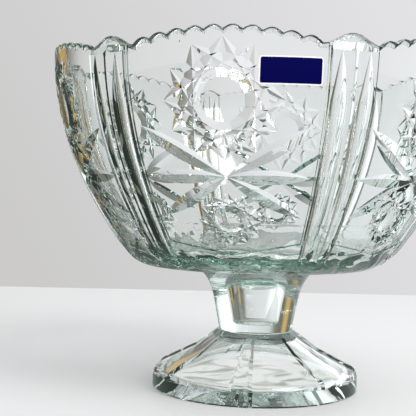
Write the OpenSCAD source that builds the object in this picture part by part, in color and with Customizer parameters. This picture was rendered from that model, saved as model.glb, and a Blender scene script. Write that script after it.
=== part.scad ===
// Footed punch bowl in clear pressed glass: a six-panel bowl with a cut pattern, a hollow stem
// and a ribbed foot, bonded face to face, with a plain label. Millimetres, +Z up, origin at the
// centre of the resting ring. The middle of a bowl panel faces -Y.

/* [Bowl] */
// Radius of the wall at the rim
rim_r = 120.5; // [112:0.5:132]
// Height of the rim's low points above the bowl's underside
rim_h = 115.6; // [110:0.2:124]
// Rise of each panel's arch above the rim's low points
arch_rise = 7.7; // [4:0.1:11]
// Rise of the peak over each pilaster above the rim's low points
peak_rise = 5.3; // [3:0.1:9]
// Radius of the wall at the knee, where its two arcs meet
knee_r = 105.6; // [102:0.2:110]
// Height of the knee above the bowl's underside
knee_h = 57; // [50:1:62]
// Lean of the wall at the knee, from vertical
knee_lean = 26; // [22:0.5:28]
// Radius of the heel, where the wall turns under
heel_r = 76; // [70:0.5:80]
// Height of the heel above the bowl's underside
heel_h = 10; // [8:0.5:11]
// Rise of the underside from the stem's edge out to the heel
base_rise = 2.6; // [1.5:0.1:3]
// Thickness of the wall over the pilasters
wall = 7; // [6:0.5:9]
// Thickness of the base
base_t = 13; // [10:0.5:18]
// Radius of the hollow's corner, where the wall meets the floor
floor_fillet = 16; // [10:1:22]

/* [Panels and teeth] */
// Number of panels round the bowl
panels = 6; // [5:1:6]
// Angle that each pilaster takes
pilaster_angle = 12.2; // [11.8:0.2:14]
// How far a pilaster stands out of the wall
pilaster_rise = 2; // [1.2:0.1:2.6]
// Angle that the rim's peak over a pilaster takes, wider than the pilaster itself
peak_angle = 14.8; // [14:0.1:18]
// Depth of the panels below the pilasters
recess = 1.2; // [0.8:0.1:1.6]
// Height of the middle of a panel's pointed lower edge above the underside
panel_point_h = 13.4; // [12:0.2:15]
// Height of the ends of a panel's lower edge above the underside
panel_edge_h = 19.6; // [17:0.2:24]
// Number of teeth along each panel's arch
teeth = 10; // [6:1:12]
// Depth of the notch between two teeth
tooth_depth = 2; // [1:0.1:3]

/* [Flutes] */
// Angle between the two flutes of a pilaster
flute_pitch = 6.8; // [6.4:0.1:7]
// Width of a flute, as an angle
flute_angle = 4.2; // [3:0.1:4.2]
// Depth of a flute
flute_depth = 2.8; // [1.6:0.1:3]
// Height of a flute's lower end above the underside
flute_low = 9.4; // [9:0.2:14]
// Height of a flute's upper point above the underside
flute_high = 112; // [96:1:113]
// Length of a flute's rounded lower end
flute_scoop = 5; // [3:0.5:8]
// Length of a flute's pointed upper end
flute_taper = 24; // [12:1:40]
// Depth of the crease down the middle of a pilaster
crease_depth = 0.5; // [0.3:0.1:0.8]

/* [Big star] */
// Height of the big star's centre above the underside
star_h = 52; // [46:1:56]
// Depth of the big star's rays at their middles
ray_depth = 2.3; // [1.2:0.1:3]
// Slope of the sides of a ray, from the wall's normal
ray_slope = 60; // [50:1:66]
// Length of the two rays that climb
ray_up = 52; // [40:1:52]
// Climb of those rays, from level
ray_up_angle = 31; // [26:1:34]
// Length of the two level rays
ray_level = 41; // [30:1:41]
// Length of the two rays that fall
ray_down = 42; // [34:1:43]
// Fall of those rays, from level
ray_down_angle = 33; // [28:1:36]

/* [Hobstars] */
// Number of points on each hobstar
hob_points = 12; // [10:1:14]
// Number of points that one groove of a hobstar passes from end to end
hob_skip = 4; // [3:1:4]
// Radius of a hobstar's flat button, as a share of the ring of grooves round it
button_share = 0.66; // [0.5:0.02:0.8]
// Height of the upper hobstar's centre above the underside
hob_h = 88; // [84:1:92]
// Radius of the upper hobstar
hob_r = 30; // [24:0.5:31]
// Depth of the upper hobstar's grooves at their middles
hob_depth = 2.2; // [1:0.1:2.6]
// Height of the lower hobstar's centre above the underside
small_hob_h = 30.5; // [28:0.5:34]
// Radius of the lower hobstar
small_hob_r = 16; // [12:0.5:17]
// Depth of the lower hobstar's grooves at their middles
small_hob_depth = 1.5; // [0.8:0.1:2]

/* [Stem] */
// Height of the stem
stem_h = 34.8; // [28:0.2:44]
// Radius of the stem at its lower end
stem_r = 21; // [18:0.5:24]
// Gain in the stem's radius by its even taper
stem_taper = 6.5; // [3:0.5:8]
// Further gain in radius by the flare that carries the bowl
stem_flare = 5.5; // [3:0.5:9]
// Radius of the well at its mouth
well_r = 12.5; // [10:0.5:15]
// Radius of the well at its floor
well_floor_r = 9; // [7:0.5:12]
// Thickness of the glass under the well
well_floor_t = 5; // [4:0.5:8]

/* [Foot] */
// Radius of the foot
foot_r = 59.6; // [54:0.2:68]
// Height of the foot
foot_h = 33.8; // [31:0.2:38]
// Height of the upright band round the foot's edge
band_h = 8.4; // [6:0.2:10]
// Radius of the rounded shoulder above the band
shoulder_fillet = 5; // [3:0.5:7]
// Fall of the foot's lower slope, from level
foot_slope = 27; // [24:0.5:30]
// Radius of the waist, where the foot's slope grows steeper
waist_r = 36.4; // [32:0.2:42]
// Number of panels round the foot
foot_panels = 7; // [6:1:9]
// Width of the rib between two foot panels, as an angle
rib_angle = 8; // [5:0.5:11]
// Depth of the foot's panels below its ribs
foot_recess = 1.2; // [0.5:0.1:1.2]
// Turn of the foot's first rib from the middle of the front panel
foot_turn = 1.5; // [-20:0.5:20]
// Thickness of the foot's shell
foot_wall = 8; // [6.5:0.5:9]
// Width of the resting ring
rest_w = 6; // [4:0.5:8]

/* [Joints] */
// Thickness of each bond film
bond_t = 0.2; // [0.1:0.05:0.4]
// Height of the bowl's locating boss, which drops into the stem's well
boss_h = 4; // [2:0.5:6]
// Clearance round the locating boss and round the stem in its seat
seat_gap = 0.3; // [0.2:0.05:0.5]
// Depth of the stem's seat in the foot's crown
seat_depth = 1; // [0.6:0.1:2]
// Width of the lip round that seat
seat_lip = 0.8; // [0.6:0.1:2]

/* [Label] */
// Width of the label
label_w = 30; // [20:1:30]
// Height of the label
label_h = 13; // [8:0.5:14]
// Radius of the label's corners
label_corner = 1.4; // [1:0.1:3]
// Width of the label's white border
label_border = 0.6; // [0.4:0.1:1]
// Thickness of each of the label's two films
label_t = 0.12; // [0.1:0.01:0.2]
// Turn of the label's middle from the middle of the front panel
label_turn = 15.6; // [13:0.2:15.6]
// Drop of the label's middle below the rim's low points
label_drop = 13.6; // [12.5:0.1:18]

/* [Hidden] */
$fn = 96;

glass = [0.86, 0.9, 0.89, 0.45];
bond_clear = [0.95, 0.95, 0.9, 0.6];
navy = [0.06, 0.05, 0.42];

lift = 1;               // height of a groove's cutter above the glass
run_out = 0.05;         // height above the glass at which a groove's bottom ends
past = 4;               // how far the other cutters reach past the glass
upper_steps = 9;        // cone bands along the wall's upper arc
lower_steps = 4;        // cone bands along its lower arc
fillet_steps = 4;       // cone bands round a fillet
tooth_steps = 4;        // straight stretches along a tooth
peak_steps = 10;        // straight stretches over a pilaster's peak
ray_steps = 6;          // straight stretches along a ray of the big star
hob_top_depth = 0.25;   // depth of the hobstars' pyramids and buttons below a panel's face
hob_point_depth = 0.1;  // depth of the hobstars' points
hob_lip = 0.35;         // width of the slope that closes a hobstar off from the plain panel
flute_section = [[-1, 0], [-0.6, 0.75], [0, 1], [0.6, 0.75], [1, 0]]; // shares of half width and depth
flute_least = 0.04;     // share of the full size at which a flute's ends close
flute_lip = 0.4;        // angle by which a flute's cutter widens above the glass
flute_steps = 5;        // straight stretches along a flute's even part
scoop_steps = 3;        // straight stretches along its rounded lower end
taper_steps = 4;        // straight stretches along its pointed upper end
crease_steps = 8;       // straight stretches along a crease
rise_angle = 11.2;      // angle that a pilaster's raised face takes
rise_draft = 0.3;       // angle by which its sides slope out towards the wall
rise_root = 1.5;        // how far its raised part reaches into the wall
rise_end = 0.3;         // depth in the wall at which its raised part ends
rise_low_h = 6.6;       // height at which it starts to stand out
rise_steps = 12;        // straight stretches up its full part
rise_out = 4;           // height over which it sinks back under the rim
label_glue = 0.05;      // glue under the label
label_steps = 6;        // cone bands up the label
stem_steps = 12;        // cone bands up the stem
flare_power = 6;        // how late the stem's flare sets in
stem_edge = 0.8;        // rounding of the stem's lower edge
well_fillet = 3;        // rounding round the well's floor
foot_edge = 1;          // chamfer under the foot's band
foot_draft = 1;         // draft of the foot's inside, so that it leaves the mould
crown_ring = 2.4;       // plain ring above the foot's panels
band_turn = 12;         // turn round the shoulder at which a foot panel's lower edge is drawn
bond_inset = 1;         // how far the upper bond stays inside the stem's edge

panel_pitch = 360 / panels;
half_panel = (panel_pitch - pilaster_angle) / 2;
half_arch = (panel_pitch - peak_angle) / 2;
stem_z = foot_h - seat_depth + bond_t;
bowl_z = stem_z + stem_h + bond_t;
stem_top_r = stem_r + stem_taper + stem_flare;
rim_top = rim_h + max(arch_rise, peak_rise);
label_mid_h = rim_h - label_drop;
crown_r = stem_r + seat_gap + seat_lip;
shoulder_end = [foot_r - shoulder_fillet + shoulder_fillet * sin(foot_slope),
    band_h + shoulder_fillet * cos(foot_slope)];
waist = [waist_r, shoulder_end[1] + (shoulder_end[0] - waist_r) * tan(foot_slope)];

// The wall's outer line: an upper arc that ends upright, and a lower arc that meets it at the knee.
upper_rad = (rim_r - knee_r) / (1 - cos(knee_lean));
upper_c = [rim_r - upper_rad, knee_h + upper_rad * sin(knee_lean)];
low_chord = [knee_r - heel_r, knee_h - heel_h];
lower_rad = norm(low_chord) / (2 * sin(atan2(low_chord[0], low_chord[1]) - knee_lean));
lower_c = [knee_r - lower_rad * cos(knee_lean), knee_h + lower_rad * sin(knee_lean)];

// Radius of the wall at height h, a depth t under its outer face
function wall_r(h, t = 0) =
    h >= upper_c[1] ? rim_r - t :
    h >= knee_h + t * sin(knee_lean) ? upper_c[0] + sqrt(pow(upper_rad - t, 2) - pow(upper_c[1] - h, 2)) :
    lower_c[0] + sqrt(pow(lower_rad - t, 2) - pow(lower_c[1] - h, 2));

// Lean of the wall at height h, from vertical
function wall_lean(h) =
    h >= upper_c[1] ? 0 :
    h >= knee_h ? asin((upper_c[1] - h) / upper_rad) :
    asin((lower_c[1] - h) / lower_rad);

// The wall's line from height h0 to h1, a depth t under its outer face
function wall_line(h0, h1, t, n) = [for (i = [0:n]) let(h = h0 + (h1 - h0) * i / n) [wall_r(h, t), h]];

function arc(c, r, a0, a1, n) =
    [for (i = [0:n]) let(a = a0 + (a1 - a0) * i / n) [c[0] + r * cos(a), c[1] + r * sin(a)]];

// A point of the wall at turn a and height h, a depth d under its outer face
function wall_point(a, h, d) =
    let(l = wall_lean(h), r = wall_r(h) - d * cos(l))
    [r * sin(a), -r * cos(a), h + d * sin(l)];

// The same, for a place x along and y up the wall from a centre at height h
function spot(h, x, y, d) =
    let(z = h + y * cos(wall_lean(h + y / 2)))
    wall_point(x / wall_r(z, recess) * 180 / PI, z, recess + d);

// A closed cutter through rings of points, all with the same count. A loop's last ring meets its first.
module trough(rings, loop = false) {
    n = len(rings[0]);
    m = len(rings);
    last = loop ? m - 1 : m - 2;
    sides = [for (i = [0:last], j = [0:n - 1])
        let(next = (j + 1) % n, a = i * n, b = (i + 1) % m * n)
        each [[a + j, b + j, a + next], [a + next, b + j, b + next]]];
    end = (m - 1) * n;
    caps = loop ? [] : [for (j = [1:n - 2]) each [[0, j, j + 1], [end, end + j + 1, end + j]]];
    polyhedron([for (ring = rings) each ring], concat(sides, caps));
}

// A V-groove between two places p and q of the pattern round a centre at height h: it is deepest
// at its middle and runs out to a point at both ends.
module groove(h, p, q, depth, slope, steps) {
    side = [p[1] - q[1], q[0] - p[0]] / norm(q - p);
    trough([for (i = [0:steps])
        let(t = i / steps, d = depth * (1 - pow(2 * t - 1, 2)) - run_out,
            c = p + (q - p) * t, w = (d + lift) * tan(slope))
        [spot(h, c[0] - w * side[0], c[1] - w * side[1], -lift),
         spot(h, c[0], c[1], d),
         spot(h, c[0] + w * side[0], c[1] + w * side[1], -lift)]]);
}

module blank() {
    heel_turn = 90 - wall_lean(heel_h);
    heel_rad = (heel_h - base_rise) / (1 - cos(heel_turn));
    heel_c = [heel_r - heel_rad * sin(heel_turn), base_rise + heel_rad];
    inner_knee_h = knee_h + wall * sin(knee_lean);
    inner_rad = lower_rad - wall - floor_fillet;
    fillet_h = base_t + floor_fillet;
    fillet_c = [lower_c[0] + sqrt(pow(inner_rad, 2) - pow(lower_c[1] - fillet_h, 2)), fillet_h];
    fillet_end = -asin((lower_c[1] - fillet_h) / inner_rad);
    fillet_top = fillet_h + floor_fillet * sin(fillet_end);
    rotate_extrude()
        polygon(concat(
            [[0, 0], [stem_top_r, 0]],
            arc(heel_c, heel_rad, -90, -90 + heel_turn, fillet_steps),
            wall_line(heel_h, knee_h, 0, lower_steps),
            wall_line(knee_h, rim_top, 0, upper_steps),
            wall_line(rim_top, inner_knee_h, wall, upper_steps),
            wall_line(inner_knee_h, fillet_top, wall, lower_steps),
            arc(fillet_c, floor_fillet, fillet_end, -90, fillet_steps),
            [[0, base_t]]));
}

// How far a pilaster stands out of the wall at height h: it is full from the flutes' scoops to
// their points.
function rise(h) =
    pilaster_rise * min(1, (h - rise_low_h) / (flute_low + flute_scoop - rise_low_h),
        (flute_high + rise_out - h) / rise_out);

module pilaster() {
    full_low = flute_low + flute_scoop;
    low = rise_low_h - rise_end / pilaster_rise * (full_low - rise_low_h);
    high = flute_high + rise_out * (1 + rise_end / pilaster_rise);
    heights = concat(
        [low],
        [for (i = [0:rise_steps]) full_low + (flute_high - full_low) * i / rise_steps],
        [high]);
    w = rise_angle / 2;
    trough([for (h = heights) [
        wall_point(w, h, -rise(h)),
        wall_point(w + rise_draft, h, rise_root),
        wall_point(-w - rise_draft, h, rise_root),
        wall_point(-w, h, -rise(h)),
        wall_point(0, h, -rise(h))]]);
}

// The boss under the base follows the taper of the stem's well.
module boss() {
    taper = (well_r - well_floor_r) / (stem_h - well_floor_t);
    translate([0, 0, -boss_h])
        cylinder(h = boss_h, r1 = well_r - taper * boss_h - seat_gap, r2 = well_r - seat_gap);
}

// Height of the rim at turn a from the middle of a panel: teeth along an arch, then half a peak
function rim_line(a) =
    let(b = abs(a))
    b <= half_arch
        ? rim_h + (arch_rise - tooth_depth) * (1 - pow(b / half_arch, 2))
            + tooth_depth * abs(sin(90 * teeth * (a / half_arch + 1)))
        : rim_h + peak_rise * (1 + cos(360 * (panel_pitch / 2 - b) / peak_angle)) / 2;

// All that stands above the rim's line
module above_rim() {
    inner = rim_r - wall - past;
    outer = rim_r + past;
    high = rim_top + past;
    arch_steps = teeth * tooth_steps;
    tooth_turns = [for (i = [0:arch_steps]) half_arch * (2 * i / arch_steps - 1)];
    peak_turns = [for (i = [1:peak_steps - 1]) half_arch + i * peak_angle / peak_steps];
    trough([for (k = [0:panels - 1], a = concat(tooth_turns, peak_turns))
        let(h = rim_line(a > panel_pitch / 2 ? a - panel_pitch : a), t = a + k * panel_pitch)
        [for (p = [[inner, h], [inner, high], [outer, high], [outer, h]])
            [p[0] * sin(t), -p[0] * cos(t), p[1]]]], loop = true);
}

// The panel's field, sunk below the pilasters, with a pointed lower edge
module panel_cut() {
    outer = rim_r + past;
    high = rim_top + past;
    reach = outer * sin(half_panel);
    edge_reach = wall_r(panel_edge_h, recess) * sin(half_panel);
    reach_h = panel_point_h + (panel_edge_h - panel_point_h) * reach / edge_reach;
    intersection() {
        rotate([0, 0, -90 - half_panel])
            rotate_extrude(angle = 2 * half_panel)
                polygon(concat(
                    wall_line(heel_h, knee_h, recess, lower_steps),
                    wall_line(knee_h, rim_top, recess, upper_steps),
                    [[rim_r - recess, high], [outer, high], [outer, heel_h]]));
        rotate([90, 0, 0])
            linear_extrude(outer)
                polygon([[0, panel_point_h], [reach, reach_h], [reach, high],
                    [-reach, high], [-reach, reach_h]]);
    }
}

module star() {
    for (ray = [[ray_up, ray_up_angle], [ray_level, 0], [ray_down, -ray_down_angle]], s = [-1, 1])
        groove(star_h, [0, 0], ray[0] * [s * cos(ray[1]), sin(ray[1])], ray_depth, ray_slope, ray_steps);
}

// A star of straight grooves, each from one point to the point hob_skip places on. They cross in
// rings, and leave rings of small pyramids round a flat button with a bevelled edge.
module hobstar(h, r, depth) {
    n = hob_points;
    m = hob_skip;
    step = 360 / n;
    chord_gap = r * cos(180 * m / n);
    // Places: V(k, i) is the crossing i of ring k, and ring m holds the star's points.
    function polar(rad, a, d) = spot(h, rad * cos(a), rad * sin(a), d);
    function turn(k, i) = 90 + step * (i + k / 2);
    function ring_r(k) = chord_gap / cos(180 * k / n);
    function v(k, i) = (k - 1) * n + (i + n) % n;
    button = m * n;
    point_lip = (m + 1) * n;
    notch_lip = (m + 2) * n;
    peak = (m + 3) * n;
    middle = peak + (m - 1) * n;
    valleys = [for (k = [1:m], i = [0:n - 1])
        polar(ring_r(k), turn(k, i), k == m ? hob_point_depth : depth * (1 - pow((k - 1) / m, 2)))];
    button_rim = [for (i = [0:n - 1]) polar(chord_gap * button_share, turn(1, i), hob_top_depth)];
    point_lips = [for (i = [0:n - 1]) polar(r + hob_lip, turn(m, i), -lift)];
    notch_lips = [for (i = [0:n - 1]) polar(ring_r(m - 1) + 2 * hob_lip, turn(m - 1, i), -lift)];
    peaks = [for (k = [1:m - 1], i = [0:n - 1])
        let(inner = k == 1 ? chord_gap : ring_r(k - 1), side = ring_r(k) * cos(step / 2))
        polar((inner + 2 * side + ring_r(k + 1)) / 4, turn(k + 1, i), hob_top_depth)];
    cover = lift + pow(r, 2) / (2 * min(upper_rad, lower_rad, knee_r));
    middles = [spot(h, 0, 0, hob_top_depth), spot(h, 0, 0, -cover)];
    polyhedron(
        concat(valleys, button_rim, point_lips, notch_lips, peaks, middles),
        [for (i = [0:n - 1]) let(next = (i + 1) % n) each concat(
            [[middle, button + i, button + next],
             [button + i, v(1, i), button + next], [v(1, i), v(1, next), button + next],
             [v(1, i), peak + i, v(1, next)],
             [v(1, next), peak + i, v(2, i)], [v(2, i), peak + i, v(1, i)]],
            [for (k = [2:m - 1]) let(top = peak + (k - 1) * n + i) each
                [[v(k - 1, next), top, v(k, next)], [v(k, next), top, v(k + 1, i)],
                 [v(k + 1, i), top, v(k, i)], [v(k, i), top, v(k - 1, next)]]],
            [[v(m - 1, i), notch_lip + i, v(m, i)], [notch_lip + i, point_lip + i, v(m, i)],
             [v(m, i), point_lip + i, v(m - 1, next)], [point_lip + i, notch_lip + next, v(m - 1, next)],
             [middle + 1, point_lip + i, notch_lip + i], [middle + 1, notch_lip + next, point_lip + i]])]);
}

// Width and depth of a flute at height h, as a share of the full size
function flute_share(h) =
    h < flute_low + flute_scoop ? sqrt(1 - pow((flute_low + flute_scoop - h) / flute_scoop, 2)) :
    h > flute_high - flute_taper ? pow((flute_high - h) / flute_taper, 0.8) : 1;

module flute(turn) {
    full_low = flute_low + flute_scoop;
    full_high = flute_high - flute_taper;
    heights = concat(
        [for (i = [0:scoop_steps - 1]) full_low - flute_scoop * cos(90 * i / scoop_steps)],
        [for (i = [0:flute_steps]) full_low + (full_high - full_low) * i / flute_steps],
        [for (i = [1:taper_steps]) full_high + flute_taper * i / taper_steps]);
    trough([for (h = heights)
        let(k = max(flute_share(h), flute_least),
            w = k * flute_angle / 2,
            d = k * flute_depth * wall_r(h) / rim_r,
            out = max(0, rise(h)))
        concat(
            [wall_point(turn + w + flute_lip, h, -lift - out)],
            [for (p = flute_section) wall_point(turn - w * p[0], h, d * p[1] - run_out - out)],
            [wall_point(turn - w - flute_lip, h, -lift - out)])]);
}

module crease(turn) {
    low = flute_low + flute_scoop;
    high = flute_high + rise_out / 2;
    heights = concat([for (i = [0:crease_steps]) low + (flute_high - low) * i / crease_steps], [high]);
    trough([for (h = heights)
        let(out = rise(h),
            d = h == low || h == high ? -run_out : crease_depth,
            w = (d + lift) * tan(ray_slope) / wall_r(h) * 180 / PI)
        [wall_point(turn + w, h, -lift - out), wall_point(turn, h, d - out),
         wall_point(turn - w, h, -lift - out)]]);
}

module bowl() {
    color(glass)
        translate([0, 0, bowl_z])
            difference() {
                union() {
                    blank();
                    boss();
                    for (k = [0:panels - 1]) rotate([0, 0, (k + 0.5) * panel_pitch]) pilaster();
                }
                above_rim();
                for (k = [0:panels - 1]) {
                    rotate([0, 0, k * panel_pitch]) panel_cut();
                    rotate([0, 0, k * panel_pitch]) star();
                    rotate([0, 0, k * panel_pitch]) hobstar(hob_h, hob_r, hob_depth);
                    rotate([0, 0, k * panel_pitch]) hobstar(small_hob_h, small_hob_r, small_hob_depth);
                    rotate([0, 0, (k + 0.5) * panel_pitch]) {
                        flute(-flute_pitch / 2);
                        flute(flute_pitch / 2);
                        crease(0);
                    }
                }
            }
}

module stem() {
    well_floor_c = [well_floor_r - well_fillet, well_floor_t + well_fillet];
    color(glass)
        translate([0, 0, stem_z])
            rotate_extrude()
                polygon(concat(
                    [[0, 0], [stem_r - stem_edge, 0]],
                    [for (i = [1:stem_steps]) let(t = i / stem_steps)
                        [stem_r + stem_taper * t + stem_flare * pow(t, flare_power), stem_h * t]],
                    [[well_r, stem_h]],
                    arc(well_floor_c, well_fillet, 0, -90, fillet_steps),
                    [[0, well_floor_t]]));
}

// The foot's outer line from turn first_turn of its shoulder to the crown, moved by s
function foot_line(s, first_turn) = concat(
    arc([foot_r - shoulder_fillet, band_h] + s, shoulder_fillet, first_turn, 90 - foot_slope, fillet_steps),
    [waist + s, [crown_r, foot_h] + s]);

module foot() {
    sunk = foot_recess * [-sin(foot_slope), -cos(foot_slope)];
    under = foot_wall * [-sin(foot_slope), -cos(foot_slope)];
    roof_h = foot_h - seat_depth - foot_wall;
    crown = [crown_r, foot_h];
    upper_slope = (crown[1] - waist[1]) / (waist[0] - crown[0]);
    roof_r = waist[0] + under[0] - (roof_h - waist[1] - under[1]) / upper_slope;
    panel_top_r = crown_r + crown_ring;
    panel_top_h = foot_h - crown_ring * upper_slope + sunk[1] - sunk[0] * upper_slope;
    panel_angle = 360 / foot_panels - rib_angle;
    panel_line = [for (p = foot_line(sunk, band_turn)) if (p[0] > panel_top_r) p];
    color(glass)
        difference() {
            rotate_extrude()
                polygon(concat(
                    [[0, 0], [foot_r - foot_edge, 0], [foot_r, foot_edge]],
                    foot_line([0, 0], 0),
                    [[0, foot_h]]));
            translate([0, 0, foot_h - seat_depth]) cylinder(h = seat_depth + past, r = stem_r + seat_gap);
            rotate_extrude()
                polygon([[0, -past], [foot_r - rest_w, -past], [foot_r - rest_w, 0],
                    [foot_r - rest_w - foot_draft, shoulder_end[1] + under[1]],
                    waist + under, [roof_r, roof_h], [0, roof_h]]);
            for (k = [0:foot_panels - 1])
                rotate([0, 0, -90 + foot_turn + rib_angle / 2 + k * 360 / foot_panels])
                    rotate_extrude(angle = panel_angle)
                        polygon(concat(
                            [[foot_r + past, panel_line[0][1]]],
                            panel_line,
                            [[panel_top_r, panel_top_h], [panel_top_r, foot_h + past],
                             [foot_r + past, foot_h + past]]));
        }
}

module upper_bond() {
    color(bond_clear)
        translate([0, 0, stem_z + stem_h])
            difference() {
                cylinder(h = bond_t, r = stem_top_r - bond_inset);
                translate([0, 0, -past]) cylinder(h = bond_t + 2 * past, r = well_r);
            }
}

module lower_bond() {
    color(bond_clear)
        translate([0, 0, foot_h - seat_depth]) cylinder(h = bond_t, r = stem_r - stem_edge);
}

// One film of the label: the wall's own curve, from inner_t to outer_t outside a panel's face,
// cut to a rounded outline that is smaller by inset all round
module label_film(inner_t, outer_t, inset) {
    sector = 2 * asin(label_w / rim_r);
    h0 = label_mid_h - label_h;
    h1 = label_mid_h + label_h;
    w = label_w - 2 * inset;
    h = label_h - 2 * inset;
    corner = label_corner - inset;
    translate([0, 0, bowl_z])
        rotate([0, 0, label_turn])
            intersection() {
                rotate([0, 0, -90 - sector / 2])
                    rotate_extrude(angle = sector)
                        polygon(concat(
                            wall_line(h0, h1, recess - inner_t, label_steps),
                            wall_line(h1, h0, recess - outer_t, label_steps)));
                translate([0, 0, label_mid_h])
                    rotate([90, 0, 0])
                        linear_extrude(rim_r + past) {
                            square([w - 2 * corner, h], center = true);
                            square([w, h - 2 * corner], center = true);
                            for (x = [-1, 1], y = [-1, 1])
                                translate([x * (w / 2 - corner), y * (h / 2 - corner)]) circle(corner);
                        }
            }
}

module label_backing() {
    color("white") label_film(label_glue, label_glue + label_t, 0);
}

module label_face() {
    color(navy) label_film(label_glue + label_t, label_glue + 2 * label_t, label_border);
}

foot();
lower_bond();
stem();
upper_bond();
bowl();
label_backing();
label_face();
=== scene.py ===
"""Footed punch bowl in clear pressed glass: a bowl of six patterned panels between fluted
pilasters, a hollow stem and a ribbed foot, bonded face to face, with a plain label.
Metres, in the packed model's frame: +Z up, the middle of a bowl panel faces -Y."""

from math import asin, atan2, copysign, cos, hypot, pi, radians, sin, sqrt, tan

import bpy
from bpy.props import FloatProperty, FloatVectorProperty, IntProperty, PointerProperty
from mathutils import Matrix, Vector
from mathutils.bvhtree import BVHTree


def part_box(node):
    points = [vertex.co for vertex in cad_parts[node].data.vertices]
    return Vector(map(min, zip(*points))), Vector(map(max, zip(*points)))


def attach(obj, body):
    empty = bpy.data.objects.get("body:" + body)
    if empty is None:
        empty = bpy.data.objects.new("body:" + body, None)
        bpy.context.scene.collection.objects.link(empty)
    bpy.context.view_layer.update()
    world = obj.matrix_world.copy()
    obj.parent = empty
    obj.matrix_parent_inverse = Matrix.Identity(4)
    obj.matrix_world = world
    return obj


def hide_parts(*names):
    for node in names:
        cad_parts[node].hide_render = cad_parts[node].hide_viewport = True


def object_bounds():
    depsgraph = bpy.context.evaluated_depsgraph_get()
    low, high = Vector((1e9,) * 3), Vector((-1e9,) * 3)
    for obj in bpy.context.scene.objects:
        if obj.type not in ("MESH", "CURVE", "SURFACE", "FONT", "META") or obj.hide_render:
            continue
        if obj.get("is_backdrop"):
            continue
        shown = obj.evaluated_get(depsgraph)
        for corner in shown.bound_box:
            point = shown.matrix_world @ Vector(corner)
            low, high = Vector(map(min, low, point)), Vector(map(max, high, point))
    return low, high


bl_info = {
    "name": "Pressed Glass Punch Bowl",
    "version": (1, 0, 0),
    "blender": (4, 5, 0),
    "location": "View3D > Sidebar > Glass",
    "description": "Models a footed punch bowl with a cut pattern, its label and a photo table",
    "category": "Object",
}

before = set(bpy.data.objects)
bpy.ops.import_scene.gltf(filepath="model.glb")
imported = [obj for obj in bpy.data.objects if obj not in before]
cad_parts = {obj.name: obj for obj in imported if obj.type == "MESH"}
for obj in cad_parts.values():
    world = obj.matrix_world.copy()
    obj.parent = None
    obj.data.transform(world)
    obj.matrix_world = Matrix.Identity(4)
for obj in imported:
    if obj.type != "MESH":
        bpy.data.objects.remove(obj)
cad_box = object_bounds()
MM = 0.001
WELD = 0.02 * MM  # points nearer than this are one point
EXACT = 1e-7  # a point nearer than this to a cutting plane, in metres, lies in it


def corner(node, end, axis):
    """One coordinate of a CAD node's box: end 0 is its lowest corner, end 1 its highest."""
    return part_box(node)[end][axis]


def length(text, mm):
    """A length that a user may change, in metres, from its size in millimetres."""
    return FloatProperty(description=text, default=mm * MM, unit="LENGTH")


def angle(text, degrees):
    """An angle that a user may change, from its size in degrees."""
    return FloatProperty(description=text, default=radians(degrees), unit="ROTATION")


def factor(text, value):
    """A plain number, at least 0, that a user may change."""
    return FloatProperty(description=text, default=value, min=0.0)


def number(text, value, low, high):
    """A number of things that a user may change."""
    return IntProperty(description=text, default=value, min=low, max=high)


def colour(text, value):
    """A colour that a user may change."""
    return FloatVectorProperty(
        description=text, default=value, subtype="COLOR", size=3, min=0, max=1
    )


def label_of(key):
    """The label that the panel shows for a setting."""
    words = {"r": "radius", "h": "height", "t": "thickness", "w": "width", "ior": "IOR"}
    text = " ".join(words.get(word, word) for word in key.split("_"))
    return text[0].upper() + text[1:]


# ---------------- sizes and colours


class BowlSizes(bpy.types.PropertyGroup):
    """The bowl's wall, base and rim."""

    rim_r: length("Radius of the wall at the rim", 120.5)
    rim_h: length("Height of the rim's low points above the underside", 115.6)
    arch_rise: length("Rise of a panel's arch above the low points", 7.7)
    peak_rise: length("Rise of the peak over each pilaster", 5.3)
    knee_r: length("Radius of the wall where its two arcs meet", 105.6)
    knee_h: length("Height of the knee above the underside", 57)
    knee_lean: angle("Lean of the wall at the knee", 26)
    heel_r: length("Radius at which the wall turns under", 76)
    heel_h: length("Height of the heel above the underside", 10)
    base_rise: length("Rise of the underside out to the heel", 2.6)
    wall: length("Thickness of the wall over the pilasters", 7)
    base_t: length("Thickness of the base", 13)
    floor_fillet: length("Radius of the hollow's corner", 16)
    boss_h: length("Height of the boss in the stem's well", 4)
    rim_round: length("Fall of the rim's rounded edges", 2.4)


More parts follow.
